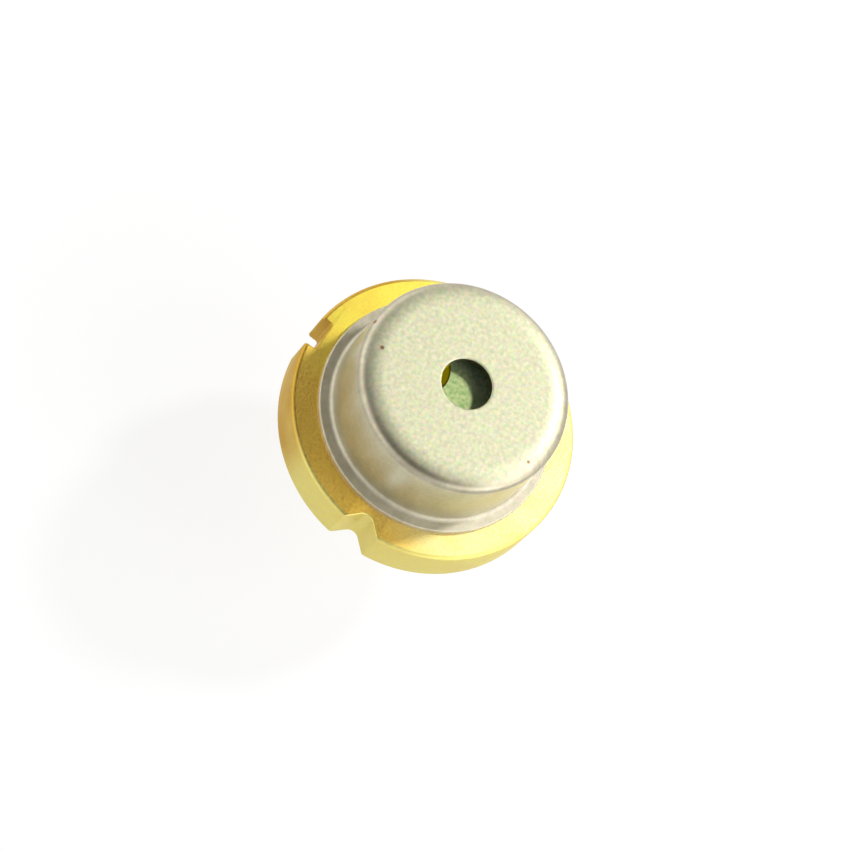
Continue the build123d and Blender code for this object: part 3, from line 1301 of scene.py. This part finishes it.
@dataclass
class BondWires:
    """The three gold wires, each an arc between two flattened balls."""

    wire_radius: float = 0.025
    loop: float = 0.3
    ball_radius: float = 0.065
    ball_height: float = 0.05
    ball_steps: int = 8
    ball_segments: int = 28
    arc_steps: int = 32
    sides: int = 14

    def arc_through(self, start: Vector, crown: Vector, end: Vector) -> list[Vector]:
        """Points on the circular arc through three points.

        Args:
            start: Where the arc begins.
            crown: A point on it.
            end: Where it ends.

        Returns:
            The arc's points, both ends included.
        """
        a, b = start - crown, end - crown
        normal = a.cross(b)
        offset = normal.cross(a) * b.length_squared - normal.cross(b) * a.length_squared
        middle = crown + offset / (2 * normal.length_squared)
        spoke = start - middle
        sweep = spoke.angle(crown - middle) + (crown - middle).angle(end - middle)
        axis = spoke.cross(crown - middle).normalized()
        turns = [sweep * i / self.arc_steps for i in range(self.arc_steps + 1)]
        return [middle + Matrix.Rotation(t, 3, axis) @ spoke for t in turns]

    def build_wire(self, name: str, start: Vector, end: Vector, outward: Vector) -> bpy.types.Object:
        """Makes one wire with its two bonds.

        Args:
            name: The new piece's name.
            start: Foot of the first bond.
            end: Foot of the second bond.
            outward: The way that both bonded faces look.

        Returns:
            The wire.
        """
        rise = outward * self.ball_height
        crown = (start + end) / 2 + rise + outward * self.loop
        path = self.arc_through(start + rise, crown, end + rise)
        across = (path[-1] - path[0]).cross(outward).normalized()
        section = circle((0, 0), self.wire_radius, self.sides)
        draft = MeshDraft()
        rings = []
        for before, here, after in zip(path[:1] + path, path, path[1:] + path[-1:]):
            side = across.cross((after - before).normalized())
            rings.append(draft.ring(here + across * x + side * y for x, y in section))
        draft.skin(rings)
        half = self.ball_height / 2
        ball = arc((self.ball_radius - half, half), half, 270, 450, self.ball_steps)
        upright = outward.to_track_quat("Z", "Y").to_matrix().to_4x4()
        for foot in (start, end):
            draft.place = Matrix.Translation(foot) @ upright
            draft.turn([(0.0, 0.0), *ball, (0.0, self.ball_height)], self.ball_segments)
        return draft.piece(name)

    def build(self) -> None:
        """Makes and dresses the wires."""
        # Drawn gold wire, bare and smooth: bright thin lines
        gold = PlatedGold(name="drawn_gold_wire", roughness=0.18, grain=Grain(0.03), grain_height_mm=0.0005)
        front, up = Vector((0, 1, 0)), Vector((0, 0, 1))
        chip, tile, block = box_mm("laser_chip"), box_mm("submount"), box_mm("heatsink_block")
        diode, lead = box_mm("monitor_photodiode"), box_mm("monitor_lead")
        laser, strap = box_mm("laser_bond_wire"), box_mm("submount_bond_wire")
        ball = self.ball_radius
        chip_foot = Vector((0, chip.high.y, chip.middle.z))
        post_foot = Vector((laser.high.x - ball, laser.low.y, laser.low.z + ball))
        tile_foot = Vector((strap.high.x - ball, tile.high.y, tile.middle.z))
        block_foot = Vector((strap.low.x + ball, block.high.y, tile.middle.z))
        # The photodiode's bond lies halfway out from the axis to the die's edge
        diode_foot = Vector((diode.low.x / 2, diode.middle.y, diode.high.z))
        lead_foot = Vector((lead.middle.x, 0, lead.high.z))
        feet = {
            "laser_bond_wire": (chip_foot, post_foot, front),
            "submount_bond_wire": (tile_foot, block_foot, front),
            "photodiode_bond_wire": (diode_foot, lead_foot, up),
        }
        for node, ends in feet.items():
            hand_over(self.build_wire(f"gold_{node}", *ends), node, Slot.WIRE, gold)


@dataclass(frozen=True)
class SoftLight:
    """A soft bright patch of the studio's dome.

    way is where it lies, strength is how bright its middle is, and edge is the cosine of the angle at which
    it has faded out.
    """

    way: Place
    strength: float
    edge: float = 0.7


@dataclass(frozen=True)
class Studio:
    """White floor under the leads, a small lamp behind the far side and a dome with soft bright patches."""

    floor_half_width: float = 900.0
    floor_colour: str = "#f4f4f4"
    floor_own_white: float = 0.8
    plain_white: float = 1.0
    lamp_direction: Place = (-0.557, 0.349, 0.754)
    lamp_distance: float = 320.0
    lamp_width: float = 43.2
    lamp_watts: float = 0.475
    dome_colour: str = "#ffffff"
    soft_lights: tuple[SoftLight, ...] = (
        SoftLight((0.0, 0.98, 0.18), 1.46),
        SoftLight((0.5, 0.86, 0.14), 2.3),
        SoftLight((-0.13, 0.66, 0.74), 4.2, edge=0.93),
        SoftLight((-0.87, 0.48, 0.14), 0.96),
        SoftLight((-0.98, -0.1, 0.14), 0.93),
        SoftLight((-0.45, -0.88, 0.14), 2.05),
        SoftLight((0.45, -0.86, 0.25), 1.7),
        SoftLight((0.97, -0.2, 0.1), 1.13),
    )

    def build_floor(self) -> None:
        """Lays a plain white floor that looks white itself and still takes the object's shadow."""
        level, half = cad_bounds[0][2] / MM, self.floor_half_width
        draft = MeshDraft()
        corners = ((-half, -half), (half, -half), (half, half), (-half, half))
        draft.face(draft.ring((x, y, level) for x, y in corners))
        floor = draft.piece("floor")
        # Matt white paper gives the eye no gloss, only a plain white with the soft shadow on it
        paper = bpy.data.materials.new("matt_white_paper")
        tree = bare_tree(paper)
        matt = add_node(tree, "BsdfDiffuse", {"Color": linear(self.floor_colour)})
        white = add_node(tree, "Emission", {"Strength": self.plain_white})
        ray = add_node(tree, "LightPath").outputs
        seen = ray["Is Camera Ray"]
        for other in ("Is Glossy Ray", "Is Transmission Ray"):
            seen = add_node(tree, "Math", {"operation": "MAXIMUM"}, {0: seen, 1: ray[other]})
        share = add_node(tree, "Math", {"operation": "MULTIPLY", 1: self.floor_own_white}, {0: seen})
        both = add_node(tree, "MixShader", links={0: share, 1: matt, 2: white})
        add_node(tree, "OutputMaterial", links={"Surface": both})
        floor.data.materials.append(paper)

    def build_dome(self) -> None:
        """Sets a dome that is dark but for its soft bright patches."""
        world = bpy.data.worlds.new("studio_dome")
        tree = bare_tree(world)
        way = add_node(tree, "TexCoord").outputs["Generated"]
        level: Node | None = None
        for patch in self.soft_lights:
            toward = {"operation": "DOT_PRODUCT", 1: Vector(patch.way).normalized()}
            near = add_node(tree, "VectorMath", toward, {0: way})
            fade = {**SMOOTH, "From Min": patch.edge, "To Max": patch.strength}
            glow = add_node(tree, "MapRange", fade, {"Value": near})
            level = add_node(tree, "Math", {"operation": "ADD"}, {0: glow, 1: level}) if level else glow
        sky = add_node(tree, "Background", {"Color": linear(self.dome_colour)}, {"Strength": level})
        add_node(tree, "OutputWorld", links={"Surface": sky})
        bpy.context.scene.world = world

    def build_lamp(self) -> None:
        """Hangs the small lamp that throws the cap's shadow."""
        data = bpy.data.lights.new("key_lamp", "AREA")
        data.shape = "DISK"
        data.size = self.lamp_width * MM
        data.energy = self.lamp_watts
        lamp = bpy.data.objects.new("key_lamp", data)
        way = Vector(self.lamp_direction).normalized()
        turned = way.to_track_quat("Z", "Y").to_matrix().to_4x4()
        lamp.matrix_world = Matrix.Translation(way * self.lamp_distance * MM) @ turned
        bpy.context.scene.collection.objects.link(lamp)

    def build(self) -> None:
        """Sets up the floor, the dome, the lamp and the way that colours are shown."""
        self.build_floor()
        self.build_dome()
        self.build_lamp()
        bpy.context.scene.view_settings.view_transform = "Standard"


@dataclass(frozen=True)
class PhotoCamera:
    """The photograph's camera, fitted to the flange, the brim and the aperture."""

    azimuth_deg: float = 80.60
    elevation_deg: float = 61.68
    roll_deg: float = 44.34
    distance: float = 112.5
    focal_px: float = 3750.0
    image_px: int = 850
    sensor: float = 36.0
    target_right: float = -0.290
    target_down: float = 0.240
    nearest: float = 10.0
    farthest: float = 10000.0

    def build(self) -> None:
        """Makes the camera and gives it to the scene."""
        angles = (self.azimuth_deg, self.elevation_deg, self.roll_deg)
        azimuth, elevation, roll = (math.radians(angle) for angle in angles)
        level = Vector((math.cos(azimuth), math.sin(azimuth), 0))
        away = Vector((math.sin(azimuth), -math.cos(azimuth), 0))
        back = away * math.cos(elevation) + Vector((0, 0, math.sin(elevation)))
        raised = back.cross(level)
        right = level * math.cos(roll) + raised * math.sin(roll)
        up = raised * math.cos(roll) - level * math.sin(roll)
        data = bpy.data.cameras.new("photo_camera")
        data.sensor_width = self.sensor
        data.lens = self.focal_px * self.sensor / self.image_px
        data.clip_start = self.nearest * MM
        data.clip_end = self.farthest * MM
        place = right * self.target_right - up * self.target_down + back * self.distance
        camera = bpy.data.objects.new("photo_camera", data)
        turned = Matrix((right, up, back)).transposed().to_4x4()
        camera.matrix_world = Matrix.Translation(place * MM) @ turned
        bpy.context.scene.collection.objects.link(camera)
        bpy.context.scene.camera = camera


def main() -> None:
    """Builds the sub-assemblies and the studio."""
    logging.basicConfig(level=logging.INFO)
    for part in (Stem(), Cap(), ChipMount(), BondWires(), Studio(), PhotoCamera()):
        part.build()
        log.info("%s is built", type(part).__name__)
    bpy.context.view_layer.update()


if __name__ == "__main__":
    main()
